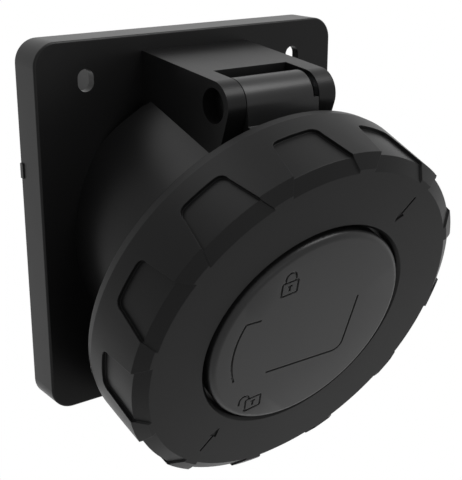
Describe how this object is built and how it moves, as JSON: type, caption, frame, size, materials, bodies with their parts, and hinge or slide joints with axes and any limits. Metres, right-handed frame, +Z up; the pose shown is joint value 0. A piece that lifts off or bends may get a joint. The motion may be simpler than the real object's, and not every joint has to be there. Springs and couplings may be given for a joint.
{
  "type": "panel socket",
  "caption": "Angled industrial panel socket: square hollow flange with slotted holes, tilted neck, hinged round lid and a grooved bayonet ring that locks it shut.",
  "frame": {"origin": "middle of the flange's back face, in the plane of the panel", "axes": "+Z up, +X to the right as the socket is seen from the front, -Y out of the panel towards the user; the socket's own axis leaves the panel along -Y and 20 degrees down"},
  "size_m": [0.1172, 0.1323, 0.1336],
  "materials": {
    "housing_plastic": "fine moulded grain, matt",
    "ring_plastic": "fine moulded grain, matt",
    "lid_plastic": "fine moulded grain, matt",
    "insert_plastic": "smooth satin",
    "rear_plastic": "smooth moulded",
    "seal_rubber": "matt",
    "washer_plastic": "smooth",
    "contact_brass": "turned",
    "steel": "zinc plated",
    "black_steel": "blackened",
    "spring_steel": "drawn wire"
  },
  "bodies": {
    "socket": {"socket_housing": "housing_plastic", "flange_seal": "seal_rubber", "contact_carrier": "insert_plastic", "carrier_ring": "insert_plastic", "carrier_seal": "seal_rubber", "terminal_block": "rear_plastic", "carrier_screws": "steel", "line_contact_1": "contact_brass", "line_contact_2": "contact_brass", "line_contact_3": "contact_brass", "neutral_contact": "contact_brass", "earth_contact": "contact_brass", "pilot_contact": "contact_brass", "sleeve_springs": "spring_steel", "terminal_screws": "steel", "clamp_plates": "steel", "hinge_pin": "black_steel", "lid_spring": "spring_steel"},
    "lid": {"lid": "lid_plastic", "lid_seal": "seal_rubber", "slip_washer": "washer_plastic"},
    "ring": {"locking_ring": "ring_plastic"}
  },
  "joints": [
    {"name": "lid_hinge", "type": "hinge", "parent": "socket", "child": "lid", "pos_m": [0, -0.0483, 0.0413], "axis": [-1, 0, 0], "range_deg": [0, 130], "stiffness_Nm_per_rad": 0.02, "springref_deg": -34.38, "deforming": ["lid_spring"]},
    {"name": "ring_turn", "type": "hinge", "parent": "lid", "child": "ring", "pos_m": [0, -0.05638, -0.01922], "axis": [0, -0.9397, -0.342], "range_deg": [0, 65]}
  ]
}
